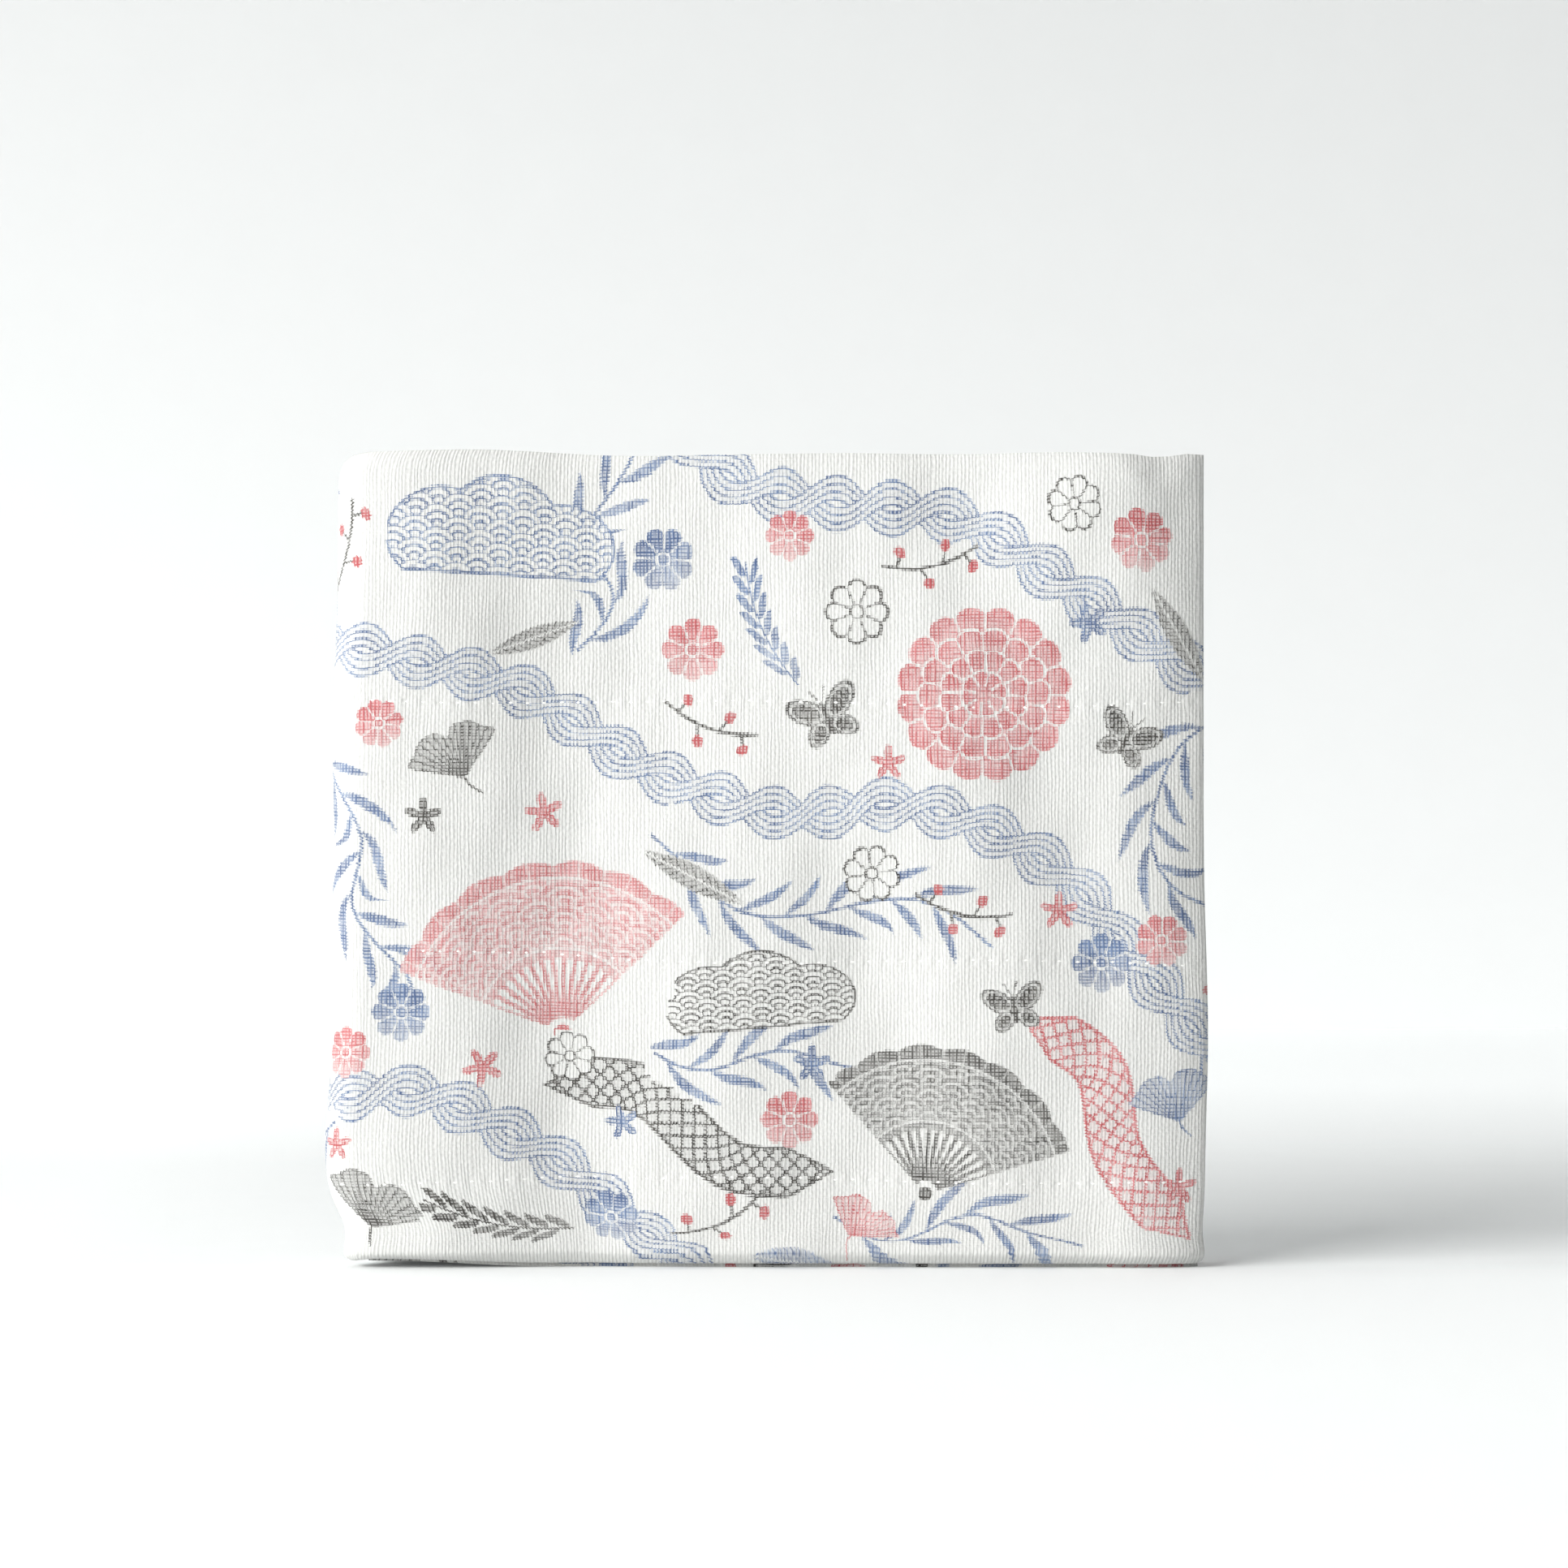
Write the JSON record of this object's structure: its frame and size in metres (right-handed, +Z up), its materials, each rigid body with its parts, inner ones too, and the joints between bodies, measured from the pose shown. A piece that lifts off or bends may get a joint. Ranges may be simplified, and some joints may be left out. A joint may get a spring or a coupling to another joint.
{
  "type": "folded dishcloth",
  "caption": "Printed cotton gauze dishcloth, folded in thirds both ways into a flat stack and stood upright on its lower folds.",
  "frame": {"origin": "under the middle of the folded stack, on the surface that it stands on", "axes": "+Z up; +X to the right as the printed face is seen, towards that face's open edge; the printed face looks along -Y"},
  "size_m": [0.1182, 0.0166, 0.1084],
  "materials": {
    "cotton_gauze": "matt off-white cotton gauze in several plies, printed in coral, blue and warm grey"
  },
  "bodies": {
    "root": {"folded_cloth": "cotton_gauze"}
  },
  "joints": []
}
